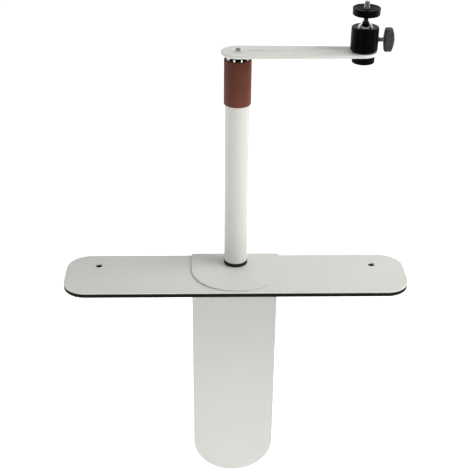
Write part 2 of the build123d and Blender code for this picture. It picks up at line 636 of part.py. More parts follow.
with BuildPart() as lock_knob:
    # seen along the screw: a long paddle with a round hub
    with BuildSketch(LOCK_PLANE.offset(LOCK_KNOB_START)):
        RectangleRounded(LOCK_KNOB_THICK, LOCK_KNOB_LENGTH, LOCK_KNOB_END_R)
        Circle(LOCK_HUB_R)
    extrude(amount=LOCK_KNOB_WIDTH)
    # seen from the side: wider at the hub than at the ends, most of all on the outer face
    with BuildSketch(Plane(origin=(ARM_REACH + LOCK_KNOB_START, 0, LOCK_Z), x_dir=(1, 0, 0), z_dir=(0, -1, 0))):
        with BuildLine():
            half = LOCK_KNOB_LENGTH / 2
            inner, outer = LOCK_KNOB_INNER_INSET, LOCK_KNOB_WIDTH - LOCK_KNOB_OUTER_INSET
            ThreePointArc((inner, half), (0, 0), (inner, -half))
            Line((inner, -half), (outer, -half))
            ThreePointArc((outer, -half), (LOCK_KNOB_WIDTH, 0), (outer, half))
            Line((outer, half), (inner, half))
        make_face()
    extrude(amount=LOCK_HUB_R, both=True, mode=Mode.INTERSECT)
    with BuildSketch(LOCK_PLANE.offset(LOCK_KNOB_START)):
        Circle(LOCK_SCREW_R)
    extrude(amount=LOCK_SCREW_END - LOCK_KNOB_START, mode=Mode.SUBTRACT)
save(lock_knob, "lock_knob")
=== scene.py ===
# %% [markdown]
# # An overhead camera stand, step by step
# This lesson dresses a ready-made CAD model: a padded wing plate with a long tongue behind it, a
# post with a brown sleeve, a swinging arm and a small ball head with a camera stud. The CAD file
# already has the right sizes, so most pieces only need a finish. The pieces that carry fine detail,
# such as threads, flutes and grooves, are rebuilt here as meshes.

import json
import math

import bmesh
import bpy
from mathutils import Matrix, Vector


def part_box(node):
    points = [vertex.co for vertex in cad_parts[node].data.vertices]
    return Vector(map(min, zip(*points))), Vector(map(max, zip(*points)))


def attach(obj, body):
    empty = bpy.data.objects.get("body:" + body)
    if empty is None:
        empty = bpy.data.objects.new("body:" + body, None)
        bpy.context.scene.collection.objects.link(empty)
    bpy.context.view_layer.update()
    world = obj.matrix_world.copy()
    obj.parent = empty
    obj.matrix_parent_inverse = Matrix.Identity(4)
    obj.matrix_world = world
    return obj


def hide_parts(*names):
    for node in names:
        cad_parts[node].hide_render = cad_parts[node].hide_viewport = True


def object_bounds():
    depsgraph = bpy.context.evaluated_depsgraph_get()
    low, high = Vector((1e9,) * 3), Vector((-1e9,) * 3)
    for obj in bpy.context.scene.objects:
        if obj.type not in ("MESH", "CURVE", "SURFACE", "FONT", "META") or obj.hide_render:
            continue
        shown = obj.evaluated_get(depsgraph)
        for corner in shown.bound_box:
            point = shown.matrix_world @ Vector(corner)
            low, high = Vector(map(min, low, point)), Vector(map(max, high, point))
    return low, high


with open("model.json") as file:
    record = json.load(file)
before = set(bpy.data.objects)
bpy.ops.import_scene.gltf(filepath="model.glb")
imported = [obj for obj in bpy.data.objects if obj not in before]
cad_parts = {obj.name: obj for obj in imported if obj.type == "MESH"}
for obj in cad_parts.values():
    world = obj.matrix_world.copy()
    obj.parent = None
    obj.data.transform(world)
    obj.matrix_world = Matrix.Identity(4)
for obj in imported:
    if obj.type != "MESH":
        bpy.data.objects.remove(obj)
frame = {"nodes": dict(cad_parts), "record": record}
cad_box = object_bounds()
MM = 0.001
print("CAD box:", cad_box)

# %% [markdown]
# ## A shorthand for node trees
# A procedural finish is mostly arithmetic on noise. Placing each Math node by hand is slow to read,
# so a small class wraps a socket and gives it the usual operators: `grain * 0.2 + 0.4` then adds the
# two Math nodes for us. Every other node comes from one method that sets the node's own settings
# first and its sockets after them. The same two classes serve shaders and Geometry Nodes.

# %% Sockets that can be calculated with
class Number:
    """A number socket in a node tree. Arithmetic on it adds Math nodes."""

    def __init__(self, tree, socket):
        self.tree = tree
        self.socket = socket

    def __add__(self, other):
        return self.tree.math("ADD", self, other)

    def __sub__(self, other):
        return self.tree.math("SUBTRACT", self, other)

    def __rsub__(self, other):
        return self.tree.math("SUBTRACT", other, self)

    def __mul__(self, other):
        return self.tree.math("MULTIPLY", self, other)

    def __truediv__(self, other):
        return self.tree.math("DIVIDE", self, other)

    def __rtruediv__(self, other):
        return self.tree.math("DIVIDE", other, self)

    __radd__ = __add__
    __rmul__ = __mul__


class Tree:
    """A node tree that is filled by short calls."""

    def __init__(self, tree):
        self.tree = tree
        self.tree.nodes.clear()

    def node(self, kind, settings=None, sockets=None):
        """Add a node, set its settings, then give its sockets their values or links."""
        made = self.tree.nodes.new(kind)
        for name, value in (settings or {}).items():
            setattr(made, name, value)
        for name, value in (sockets or {}).items():
            socket = self.find(made, name)
            if isinstance(value, Number):
                value = value.socket
            if isinstance(value, bpy.types.NodeSocket):
                self.tree.links.new(value, socket)
            else:
                socket.default_value = value
        return made

    def find(self, node, name):
        """A socket by its place, its identifier or its name."""
        if isinstance(name, int):
            return node.inputs[name]
        for socket in node.inputs:
            if socket.identifier == name:
                return socket
        return node.inputs[name]

    def math(self, operation, *terms, **settings):
        """A Math node on numbers or sockets."""
        made = self.node("ShaderNodeMath", {"operation": operation, **settings}, dict(enumerate(terms)))
        return Number(self, made.outputs[0])

    def held(self, number):
        """The same number, held between 0 and 1."""
        return self.math("MULTIPLY", number, 1.0, use_clamp=True)

    def axes(self, vector):
        """The three numbers of a vector."""
        split = self.node("ShaderNodeSeparateXYZ", sockets={"Vector": vector})
        return [Number(self, split.outputs[axis]) for axis in "XYZ"]


print("helpers ready: Number, Tree")

# %% [markdown]
# ## The camera
# The lens is a short telephoto, a little above the stand and looking down on it. A camera can be
# turned with Euler angles, but a yaw, a pitch and a roll are easier to read: the yaw turns it to the
# right, the pitch down, and the roll about its own line of sight. The three axes are worked out from
# those and put in the camera's matrix.

# %% Place the camera
CAMERA_PLACE = Vector((-0.0341, -1.0561, 0.63595))
CAMERA_YAW, CAMERA_PITCH, CAMERA_ROLL = (math.radians(a) for a in (1.797, 29.15, 0.655))
CAMERA_LENS, CAMERA_SENSOR = 75.81, 36.0
CAMERA_SEES_TO = 50.0

forward = Vector((
    math.sin(CAMERA_YAW) * math.cos(CAMERA_PITCH),
    math.cos(CAMERA_YAW) * math.cos(CAMERA_PITCH),
    -math.sin(CAMERA_PITCH),
))
level = Vector((math.cos(CAMERA_YAW), -math.sin(CAMERA_YAW), 0.0))
upright = level.cross(forward)
right = level * math.cos(CAMERA_ROLL) + upright * math.sin(CAMERA_ROLL)
up = upright * math.cos(CAMERA_ROLL) - level * math.sin(CAMERA_ROLL)

camera_data = bpy.data.cameras.new("camera")
camera_data.lens = CAMERA_LENS
camera_data.sensor_width = CAMERA_SENSOR
camera_data.clip_end = CAMERA_SEES_TO
camera = bpy.data.objects.new("camera", camera_data)
turn = Matrix((right, up, -forward)).transposed().to_4x4()
camera.matrix_world = Matrix.Translation(CAMERA_PLACE) @ turn
bpy.context.scene.collection.objects.link(camera)
bpy.context.scene.camera = camera
print("camera at", tuple(round(v, 3) for v in CAMERA_PLACE))

# %% [markdown]
# ## The studio's sheets
# White paint on white paper is the hard part here: the paper has to be brighter than the paint, so it
# glows a little. Everything on the stage is a flat sheet with four corners, lying or standing, and
# needs one of four plain materials: the paper, a black card, and two that only shine.

# %% Stage materials and sheets
scene = bpy.context.scene
scene.view_settings.view_transform = "Standard"
FLOOR_GLOW = 0.66
STRIP_GLOW, WALL_GLOW = 2.4, 1.05
WHITE = (1.0, 1.0, 1.0, 1.0)


def shader_tree(name):
    """A new material and its empty tree."""
    material = bpy.data.materials.new(name)
    material.use_nodes = True
    return material, Tree(material.node_tree)


def glowing_sheet(name, strength):
    """A material that only shines."""
    material, tree = shader_tree(name)
    glow = tree.node("ShaderNodeEmission", sockets={"Color": WHITE, "Strength": strength})
    tree.node("ShaderNodeOutputMaterial", sockets={"Surface": glow.outputs["Emission"]})
    return material


def flat_sheet(name, corners, material):
    """A four-cornered sheet for the stage."""
    sheet = bpy.data.meshes.new(name)
    sheet.from_pydata([tuple(c) for c in corners], [], [(0, 1, 2, 3)])
    sheet.materials.append(material)
    card = bpy.data.objects.new(name, sheet)
    scene.collection.objects.link(card)
    return card


def lying_sheet(name, half_width, front_y, back_y, z, material):
    return flat_sheet(name, [
        (-half_width, front_y, z), (half_width, front_y, z),
        (half_width, back_y, z), (-half_width, back_y, z),
    ], material)


def standing_sheet(name, start, end, bottom_z, top_z, material):
    """A sheet that stands on the line from start to end."""
    return flat_sheet(name, [
        (*start, bottom_z), (*end, bottom_z), (*end, top_z), (*start, top_z),
    ], material)


paper, tree = shader_tree("studio_paper")
fibre = tree.node("ShaderNodeTexNoise", sockets={
    "Vector": tree.node("ShaderNodeTexCoord").outputs["Object"], "Scale": 60.0, "Detail": 3.0,
})
paper_rough = Number(tree, fibre.outputs["Fac"]) * 0.1 + 0.85
paper_shader = tree.node("ShaderNodeBsdfPrincipled", sockets={
    "Base Color": (0.92, 0.92, 0.92, 1.0), "Roughness": paper_rough, "Specular IOR Level": 0.1,
    "Emission Color": WHITE, "Emission Strength": FLOOR_GLOW,
})
tree.node("ShaderNodeOutputMaterial", sockets={"Surface": paper_shader.outputs["BSDF"]})

black_card, tree = shader_tree("black_card")
card_shader = tree.node("ShaderNodeBsdfDiffuse", sockets={"Color": (0.004, 0.004, 0.004, 1.0)})
tree.node("ShaderNodeOutputMaterial", sockets={"Surface": card_shader.outputs["BSDF"]})

white_strip = glowing_sheet("white_strip", STRIP_GLOW)
white_wall = glowing_sheet("white_wall", WALL_GLOW)
print("stage materials:", paper.name, black_card.name, white_strip.name, white_wall.name)

# %% [markdown]
# ## Floor and backdrop
# The floor lies just under the tongue's end. Four glowing walls stand far off, so that the paper has
# no horizon from any side. Only the camera sees the walls: they give no light and no reflection.

# %% Floor and backdrop
FLOOR_Z = cad_box[0][2] - 1.5 * MM
FLOOR_REACH, WALL_TOP_Z = 14.0, 14.0
lying_sheet("floor", FLOOR_REACH, -FLOOR_REACH, FLOOR_REACH, FLOOR_Z, paper)
wall_corners = [(-FLOOR_REACH, -FLOOR_REACH), (FLOOR_REACH, -FLOOR_REACH),
                (FLOOR_REACH, FLOOR_REACH), (-FLOOR_REACH, FLOOR_REACH)]
for count, (start, end) in enumerate(zip(wall_corners, wall_corners[1:] + wall_corners[:1])):
    wall = standing_sheet(f"backdrop_{count + 1}", start, end, FLOOR_Z, WALL_TOP_Z, white_wall)
    wall.visible_diffuse = False
    wall.visible_glossy = False
    wall.visible_shadow = False
    wall.visible_transmission = False
print("floor at z", round(FLOOR_Z, 4), "with", len(wall_corners), "walls")

# %% [markdown]
# ## Cards for the mirrors
# Polished and black pieces mirror the paper in front of them, which would turn them grey. Studios lay
# black cards there, and stand white strips where a bright line should run down a round piece. These
# are seen only in reflections. They cast no shadow and the camera doesn't see them.

# %% Black cards and white strips
CARD_HALF_WIDTH, CARD_TOP_Z = 3.0, 2.6
CARD_NEAR_Y, CARD_FAR_Y, SIDE_CARD_NEAR_Y = -0.12, -3.0, 0.4
LOW_CARD_LIFT = 0.02
STRIP_BEARING = math.radians(37.0)
STRIP_DISTANCE, STRIP_WIDTH = 1.1, 0.24
STRIP_BOTTOM_Z, STRIP_TOP_Z = 0.08, 0.9
BACK_CARD_Y, BACK_CARD_TOP_Z = 2.6, 4.2

low_z = FLOOR_Z + LOW_CARD_LIFT
cards = [
    lying_sheet("low_card", CARD_HALF_WIDTH, CARD_FAR_Y, CARD_NEAR_Y, low_z, black_card),
    standing_sheet("front_card", (-CARD_HALF_WIDTH, CARD_FAR_Y), (CARD_HALF_WIDTH, CARD_FAR_Y),
                   FLOOR_Z, CARD_TOP_Z, black_card),
]
for side, name in ((-1, "left_strip"), (1, "right_strip")):
    middle = Vector((side * math.sin(STRIP_BEARING), -math.cos(STRIP_BEARING))) * STRIP_DISTANCE
    across = Vector((math.cos(STRIP_BEARING), side * math.sin(STRIP_BEARING))) * STRIP_WIDTH / 2
    cards.append(standing_sheet(name, middle - across, middle + across,
                                STRIP_BOTTOM_Z, STRIP_TOP_Z, white_strip))
for side, name in ((-1, "left_card"), (1, "right_card")):
    x = side * CARD_HALF_WIDTH
    cards.append(standing_sheet(name, (x, CARD_FAR_Y), (x, SIDE_CARD_NEAR_Y),
                                FLOOR_Z, CARD_TOP_Z, black_card))
cards.append(standing_sheet("back_card", (-CARD_HALF_WIDTH, BACK_CARD_Y), (CARD_HALF_WIDTH, BACK_CARD_Y),
                            FLOOR_Z, BACK_CARD_TOP_Z, white_wall))
for card in cards:
    card.visible_camera = False
    card.visible_diffuse = False
    card.visible_shadow = False
    card.visible_transmission = False
print("cards and strips:", len(cards))

# %% [markdown]
# ## Lights and air
# A large soft key light stands on the right. Weaker ones fill from the left, the front and above.
# None of them shows in mirrors, which see the cards and strips instead. The air is brightest near the
# horizon behind the stand, and dimmer everywhere else.

# %% Soft lights
def soft_light(name, place, target, size, watts):
    """A soft box that looks at a target and isn't seen in mirrors."""
    lamp = bpy.data.lights.new(name, "AREA")
    lamp.shape = "RECTANGLE"
    lamp.size, lamp.size_y = size
    lamp.energy = watts
    box = bpy.data.objects.new(name, lamp)
    aim = (Vector(target) - Vector(place)).to_track_quat("-Z", "Y")
    box.matrix_world = Matrix.Translation(Vector(place)) @ aim.to_matrix().to_4x4()
    box.visible_glossy = False
    scene.collection.objects.link(box)


soft_light("key", (1.1, -0.28, 0.98), (0.05, 0.0, 0.05), (0.9, 0.9), 15.0)
soft_light("left_fill", (-1.6, -0.8, 0.1), (0.0, 0.0, 0.05), (0.5, 0.7), 2.2)
soft_light("front_fill", (0.0, -3.3, 0.9), (0.0, 0.0, 0.1), (2.4, 1.0), 6.5)
soft_light("top_fill", (-0.4, 0.5, 1.8), (0.05, 0.0, 0.1), (1.4, 1.0), 3.0)
print("lights:", len(bpy.data.lights))

# %% The air
AIR_BEHIND, AIR_OVERHEAD = 1.1, 0.32
HORIZON_FADE, BEHIND_FADE, BEHIND_START = 2.0, 1.6, 0.4

world = bpy.data.worlds.new("studio_air")
scene.world = world
world.use_nodes = True
tree = Tree(world.node_tree)
_, depth, rise = tree.axes(tree.node("ShaderNodeTexCoord").outputs["Generated"])
near_horizon = tree.held(1.0 - tree.math("ABSOLUTE", rise) * HORIZON_FADE)
behind = tree.held(depth * BEHIND_FADE + BEHIND_START)
glow = near_horizon * behind * (AIR_BEHIND - AIR_OVERHEAD) + AIR_OVERHEAD
air = tree.node("ShaderNodeBackground", sockets={"Color": WHITE, "Strength": glow})
tree.node("ShaderNodeOutputWorld", sockets={"Surface": air.outputs["Background"]})

# %% [markdown]
# ## How a finish is put together
# Every finish below is a Principled shader with three things that change over the surface: the
# colour drifts a little between two near shades, the roughness follows its own noise, and a bump
# gives the grain of the real coating. The grain sizes are real: object coordinates are in metres, so
# a noise scale of 1000 has cells of about a millimetre.

# %% The finish maker
LINES_PER_SCALE = 3.2
FINISHES = {}


class Finish(Tree):
    """A material that is built from noise on object coordinates."""

    def __init__(self, name):
        self.material = bpy.data.materials.new(name)
        self.material.use_nodes = True
        super().__init__(self.material.node_tree)
        self.place = self.node("ShaderNodeTexCoord").outputs["Object"]

    def stretched(self, scale):
        """The coordinates, stretched along one or two axes."""
        made = self.node("ShaderNodeMapping", sockets={"Vector": self.place, "Scale": scale})
        return made.outputs["Vector"]

    def noise(self, scale, detail=2.0, place=None):
        made = self.node("ShaderNodeTexNoise", sockets={
            "Vector": place or self.place, "Scale": scale, "Detail": detail,
        })
        return Number(self, made.outputs["Fac"])

    def cells(self, scale):
        made = self.node("ShaderNodeTexVoronoi", sockets={"Vector": self.place, "Scale": scale})
        return Number(self, made.outputs["Distance"])

    def rings(self, per_metre, distortion=0.0):
        """Fine turning lines, stacked along Z."""
        made = self.node("ShaderNodeTexWave", {"wave_type": "BANDS", "bands_direction": "Z"}, {
            "Vector": self.place, "Scale": per_metre / LINES_PER_SCALE,
            "Distortion": distortion, "Detail": 1.0,
        })
        return Number(self, made.outputs["Fac"])

    def between(self, factor, first, second):
        """A colour between two, chosen by a number."""
        made = self.node("ShaderNodeMix", {"data_type": "RGBA"}, {
            "Factor_Float": factor, "A_Color": (*first, 1.0), "B_Color": (*second, 1.0),
        })
        return next(socket for socket in made.outputs if socket.identifier == "Result_Color")

    def bump(self, height, depth, strength=1.0):
        made = self.node("ShaderNodeBump", sockets={
            "Height": height, "Distance": depth, "Strength": strength,
        })
        return made.outputs["Normal"]

    def finish(self, colour, roughness, normal, **constants):
        shader = self.node("ShaderNodeBsdfPrincipled", sockets={
            "Base Color": colour, "Roughness": roughness, "Normal": normal,
            **{name.replace("_", " "): value for name, value in constants.items()},
        })
        self.node("ShaderNodeOutputMaterial", sockets={"Surface": shader.outputs["BSDF"]})
        return self.material


print("finish maker ready, finishes so far:", len(FINISHES))

# %% [markdown]
# ## White powder coat
# The wing, the bracket, the post and the arm are sheet and tube with a baked powder coat. Its mark is
# orange peel, a shallow waviness about a millimetre across, over a satin gloss. One noise gives the
# waves, a finer one the grain, and a slow one lets the warm white drift by a few percent.

# %% White powder coat
def white_powder_coat():
    coat = Finish("white_paint")
    drift = coat.noise(9.0, 3.0)
    peel = coat.noise(950.0, 1.0)
    grain = coat.noise(5200.0, 1.0)
    colour = coat.between(drift, (0.690, 0.680, 0.643), (0.735, 0.726, 0.690))
    roughness = peel * 0.08 + coat.noise(24.0) * 0.08 + 0.36
    height = peel * 0.8 + grain * 0.2
    return coat.finish(colour, roughness, coat.bump(height, 0.00005), Specular_IOR_Level=0.42)


FINISHES["white_paint"] = white_powder_coat()
print("made", "white_paint")

# %% [markdown]
# ## Rubber
# The pad under the wing, the ring at the post's foot and the pad on the platform are black rubber. It
# is nearly matt, with a fine leathery grain from the mould. Voronoi cells give that grain its small
# raised islands, and a slow noise adds the faint grey bloom that rubber gets.

# %% Black rubber
def moulded_rubber():
    rubber = Finish("black_rubber")
    bloom = rubber.noise(70.0, 4.0)
    islands = rubber.cells(1500.0)
    colour = rubber.between(bloom, (0.0075, 0.0075, 0.0075), (0.013, 0.0128, 0.0124))
    roughness = rubber.noise(300.0) * 0.15 + 0.66
    return rubber.finish(colour, roughness, rubber.bump(islands, 0.00008, 0.7), Specular_IOR_Level=0.3)


FINISHES["black_rubber"] = moulded_rubber()
print("made", "black_rubber")

# %% [markdown]
# ## The brown sleeve
# The sleeve at the top of the post is a reddish brown tube with a satin skin. Such sleeves are drawn
# through a die, so their faint streaks run along the tube: the noise is squeezed along Z, which pulls
# each spot into a line. The colour is also made paler towards the lower end, the more so the further
# below a set height.

# %% Brown sleeve
SLEEVE_EVEN_Z, SLEEVE_PALER_RATE = 0.25, 14.0


def brown_satin_sleeve():
    sleeve = Finish("brown_sleeve")
    drawn = sleeve.stretched((1.0, 1.0, 0.04))
    streaks = sleeve.noise(420.0, 4.0, drawn)
    cloud = sleeve.noise(55.0, 3.0)
    _, _, rise = sleeve.axes(sleeve.place)
    # Paler towards the lower end: the shade factor grows with the distance below the even height.
    paler_low = (SLEEVE_EVEN_Z - rise) * SLEEVE_PALER_RATE
    shade = streaks * 0.5 + cloud * 0.5 + paler_low
    colour = sleeve.between(shade, (0.098, 0.028, 0.0175), (0.160, 0.052, 0.035))
    roughness = streaks * 0.12 + 0.42
    height = streaks * 0.5 + sleeve.noise(3800.0, 1.0) * 0.5
    return sleeve.finish(colour, roughness, sleeve.bump(height, 0.00003), Specular_IOR_Level=0.12)


FINISHES["brown_sleeve"] = brown_satin_sleeve()
print("made", "brown_sleeve")

# %% [markdown]
# ## Polished metal
# The ball, the boss under the arm and the pivot screw are polished and plated. A mirror shows its
# surroundings, so the finish itself stays simple: a metallic surface, a whisper of cloud in the
# colour, very fine turning lines, and faint wiping marks in the roughness.

# %% Polished plate
def polished_plate():
    plate = Finish("chrome")
    wiped = plate.noise(420.0, 4.0)
    lines = plate.rings(5200.0)
    colour = plate.between(plate.noise(180.0), (0.60, 0.575, 0.55), (0.70, 0.68, 0.66))
    roughness = wiped * 0.10 + 0.07
    return plate.finish(colour, roughness, plate.bump(lines, 0.000002), Metallic=1.0)


FINISHES["chrome"] = polished_plate()
print("made", "chrome")

# %% [markdown]
# ## Dark neck metal with painted reflection
# The ball's neck is polished metal, given a dark, brownish satin colour that is painted reflection of the
# dark parts round it. It is made like the plate, with a darker colour, a rougher skin and coarser turning
# lines that waver a little.

# %% Dark neck metal, painted reflection
def dark_reflection_neck_metal():
    steel = Finish("dark_steel")
    neck_tone = steel.noise(260.0, 4.0)
    lines = steel.rings(3200.0, distortion=0.3)
    # Painted reflection: the dark, brownish colour stands in for the dark parts that the polished neck
    # mirrors.
    colour = steel.between(neck_tone, (0.085, 0.070, 0.060), (0.150, 0.128, 0.112))
    roughness = neck_tone * 0.12 + 0.26
    return steel.finish(colour, roughness, steel.bump(lines, 0.000004), Metallic=1.0)


FINISHES["dark_steel"] = dark_reflection_neck_metal()
print("made", "dark_steel")

# %% [markdown]
# ## Black anodised aluminium
# The ball head's housing and platform are turned from aluminium, blasted with fine beads and dyed
# black. The dye layer hides the metal, so the shader isn't metallic. Very fine grain from the beads
# lies over turning lines that run round the piece.

# %% Black anodised
def black_anodised():
    skin = Finish("black_anodised")
    beads = skin.noise(6500.0, 2.0)
    lines = skin.rings(3000.0, distortion=0.3)
    colour = skin.between(skin.noise(120.0, 3.0), (0.0014, 0.0014, 0.0013), (0.0030, 0.0030, 0.0029))
    roughness = beads * 0.12 + 0.30
    height = beads * 0.6 + lines * 0.4
    return skin.finish(colour, roughness, skin.bump(height, 0.000012), Specular_IOR_Level=0.07)


FINISHES["black_anodised"] = black_anodised()
print("made", "black_anodised")

# %% [markdown]
# ## Moulded knobs
# The thumb knob is hard black nylon, the lock knob a softer dark grey one. Moulded nylon has a fine
# spark texture, and the high places of a knob are polished by fingers: the roughness is lower where a
# slow noise says that a thumb has been.

# %% Moulded knobs
def moulded_nylon(name, dark, light, gloss):
    nylon = Finish(name)
    spark = nylon.noise(3600.0, 3.0)
    handled = nylon.noise(160.0, 2.0)
    colour = nylon.between(nylon.noise(240.0, 3.0), dark, light)
    roughness = spark * 0.10 - handled * 0.12 + gloss
    return nylon.finish(colour, roughness, nylon.bump(spark, 0.00003, 0.8), Specular_IOR_Level=0.15)


def black_nylon():
    return moulded_nylon("black_knob", (0.0014, 0.0014, 0.0013), (0.0032, 0.0032, 0.0030), 0.45)


def grey_nylon():
    return moulded_nylon("grey_knob", (0.034, 0.034, 0.032), (0.078, 0.078, 0.074), 0.50)


FINISHES["black_knob"] = black_nylon()
FINISHES["grey_knob"] = grey_nylon()
print("made", "black_knob", "grey_knob")

# %% [markdown]
# ## Screws, bushes and plugs
# Zinc-plated steel has a bright, slightly cloudy surface: small crystals of zinc each reflect a
# little differently. The bushes are sintered bronze, full of oil pores, the plugs turned aluminium
# with clear turning lines, and the washers and the brake cup acetal, a waxy black plastic.

# %% Zinc, bronze, aluminium and acetal
def zinc_plated_steel():
    zinc = Finish("steel")
    crystals = zinc.cells(2600.0)
    cloud = zinc.noise(700.0, 3.0)
    colour = zinc.between(crystals * 0.5 + cloud * 0.5, (0.52, 0.49, 0.46), (0.70, 0.67, 0.64))
    roughness = cloud * 0.16 + 0.20
    return zinc.finish(colour, roughness, zinc.bump(crystals, 0.000006), Metallic=1.0)


def sintered_bronze():
    bronze = Finish("bronze")
    pores = bronze.cells(4200.0)
    colour = bronze.between(bronze.noise(400.0, 3.0), (0.42, 0.24, 0.10), (0.56, 0.34, 0.16))
    roughness = pores * 0.2 + 0.34
    return bronze.finish(colour, roughness, bronze.bump(pores, 0.00002), Metallic=1.0)


def turned_aluminium():
    metal = Finish("turned_aluminium")
    lines = metal.rings(2600.0, distortion=0.4)
    colour = metal.between(metal.noise(300.0), (0.62, 0.62, 0.63), (0.74, 0.74, 0.75))
    roughness = lines * 0.08 + 0.26
    return metal.finish(colour, roughness, metal.bump(lines, 0.000008), Metallic=1.0)


def black_acetal():
    acetal = Finish("black_plastic")
    swirl = acetal.noise(900.0, 3.0)
    colour = acetal.between(swirl, (0.010, 0.010, 0.010), (0.019, 0.019, 0.018))
    roughness = swirl * 0.12 + 0.38
    return acetal.finish(colour, roughness, acetal.bump(swirl, 0.00001), Specular_IOR_Level=0.5)


FINISHES["steel"] = zinc_plated_steel()
FINISHES["bronze"] = sintered_bronze()
FINISHES["turned_aluminium"] = turned_aluminium()
FINISHES["black_plastic"] = black_acetal()
print("finishes:", len(FINISHES))

# %% [markdown]
# ## Dress the CAD pieces
# The CAD pieces come in with one material slot each, and the record says which finish it takes. Only
# the slot's material is changed. The meshes are left exactly as they came.

# %% Give every CAD piece its finish
finish_of = {part["node"]: part["material_slot"] for part in frame["record"]["subparts"]}
for name, piece in frame["nodes"].items():
    for place in piece.material_slots:
        place.material = FINISHES[finish_of[name]]
print("dressed", len(frame["nodes"]), "pieces")

# %% [markdown]
# ## Growing a piece from a rule
# Threads, flutes and ribs all repeat, so Geometry Nodes can make them from a rule with a few sizes.
# The tree is built once, with named inputs. Each piece then gets an empty seed object with a
# modifier, whose inputs are set by the sockets' identifiers. The evaluated result is kept as a plain
# mesh, and the modifier goes.

# %% Build and run a rule
INPUT_KINDS = {float: "NodeSocketFloat", int: "NodeSocketInt", tuple: "NodeSocketVector"}


def new_rule(name, sizes):
    """A Geometry Nodes tree with named inputs, and those inputs as sockets."""
    group = bpy.data.node_groups.new(name, "GeometryNodeTree")
    group.interface.new_socket(name="Geometry", in_out="OUTPUT", socket_type="NodeSocketGeometry")
    for label, start in sizes.items():
        group.interface.new_socket(name=label, in_out="INPUT", socket_type=INPUT_KINDS[type(start)])
    group.interface.new_socket(name="Finish", in_out="INPUT", socket_type="NodeSocketMaterial")
    tree = Tree(group)
    inputs = tree.node("NodeGroupInput")
    return tree, {socket.name: Number(tree, socket) for socket in inputs.outputs if socket.name}


def close_rule(tree, geometry, inputs):
    """Real geometry, smooth shading and the finish, which every rule ends in."""
    real = tree.node("GeometryNodeRealizeInstances", sockets={"Geometry": geometry})
    smooth = tree.node("GeometryNodeSetShadeSmooth", sockets={"Geometry": real.outputs["Geometry"]})
    dressed = tree.node("GeometryNodeSetMaterial", sockets={
        "Geometry": smooth.outputs["Geometry"], "Material": inputs["Finish"],
    })
    tree.node("NodeGroupOutput", sockets={"Geometry": dressed.outputs["Geometry"]})
    return tree.tree


def grow(name, rule, sizes, slot, body, *stands_for):
    """Run a rule with these sizes and keep the result as a plain mesh on a body."""
    seed = bpy.data.objects.new(name, bpy.data.meshes.new(name + "_seed"))
    scene.collection.objects.link(seed)
    modifier = seed.modifiers.new("rule", "NODES")
    modifier.node_group = rule
    for socket in rule.interface.items_tree:
        if socket.in_out == "INPUT":
            value = FINISHES[slot] if socket.name == "Finish" else sizes[socket.name]
            modifier[socket.identifier] = value
    depsgraph = bpy.context.evaluated_depsgraph_get()
    mesh = bpy.data.meshes.new_from_object(seed.evaluated_get(depsgraph), depsgraph=depsgraph)
    seed.modifiers.clear()
    seed.data = mesh
    mesh.name = name
    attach(seed, body)
    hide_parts(*stands_for)
    print(name, "has", len(mesh.polygons), "faces")


def centre_and_size(node):
    low, high = (Vector(corner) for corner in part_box(node))
    return (low + high) / 2, high - low


print("rule helpers ready")

# %% [markdown]
# ## Screw threads
# A thread is a ridge that climbs by one pitch each turn. It could be swept along a spiral, but then it
# would only stick into its core. Here one closed skin does it: a cylinder with many rings, whose
# radius at each point depends on how far its height and its angle are round the turn. A triangle wave
# gives the flanks, clamped so that crest and root are flat, and near both ends the radius is capped so
# that the thread runs out into a small chamfer.

# %% The thread rule
FLANK_SLOPE, CREST_FLAT = 1.4, 0.2
WHOLE_TURNS_AHEAD = 64.0
THREAD_SIZES = {
    "Radius": 0.003, "Depth": 0.0005, "Pitch": 0.001, "Length": 0.01, "Chamfer": 0.0006,
    "Around": 48, "Rows": 60, "Turn": (0.0, 0.0, 0.0), "Centre": (0.0, 0.0, 0.0),
}


def thread_rule():
    tree, inputs = new_rule("thread_rule", THREAD_SIZES)
    rod = tree.node("GeometryNodeMeshCylinder", {"fill_type": "NGON"}, {
        "Vertices": inputs["Around"], "Side Segments": inputs["Rows"], "Radius": 1.0,
        "Depth": inputs["Length"],
    })
    x, y, z = tree.axes(tree.node("GeometryNodeInputPosition").outputs["Position"])
    angle = tree.math("ARCTAN2", y, x) / math.tau
    turn = tree.math("FRACT", z / inputs["Pitch"] - angle + WHOLE_TURNS_AHEAD)
    wave = tree.math("ABSOLUTE", turn - 0.5) * 2.0
    ridge = tree.held(wave * FLANK_SLOPE - CREST_FLAT)
    threaded = inputs["Radius"] - inputs["Depth"] * ridge
    to_end = inputs["Length"] * 0.5 - tree.math("ABSOLUTE", z)
    capped = inputs["Radius"] - inputs["Chamfer"] + to_end
    radius = tree.math("MINIMUM", threaded, capped)
    spot = tree.node("ShaderNodeCombineXYZ", sockets={"X": x * radius, "Y": y * radius, "Z": z})
    cut = tree.node("GeometryNodeSetPosition", sockets={
        "Geometry": rod.outputs["Mesh"], "Position": spot.outputs["Vector"],
    })
    tilt = tree.node("FunctionNodeEulerToRotation", sockets={"Euler": inputs["Turn"]})
    moved = tree.node("GeometryNodeTransform", sockets={
        "Geometry": cut.outputs["Geometry"], "Translation": inputs["Centre"],
        "Rotation": tilt.outputs["Rotation"],
    })
    return close_rule(tree, moved.outputs["Geometry"], inputs)


THREAD = thread_rule()
print("thread rule has", len(THREAD.nodes), "nodes")

# %% [markdown]
# ## The three threaded studs
# The camera stud on top has the camera maker's coarse quarter-inch thread, with 1.27 mm from turn to
# turn. The clamp stud and the lock screw have metric threads. The camera stud starts in the hole of
# the rubber inlay, a little below its top.

# %% Threaded studs
stud_centre, stud_size = centre_and_size("camera_stud")
stud_top = stud_centre.z + stud_size.z / 2
STUD_SUNK = 1.2 * MM
stud_length = stud_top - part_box("platform_pad")[1][2] + STUD_SUNK

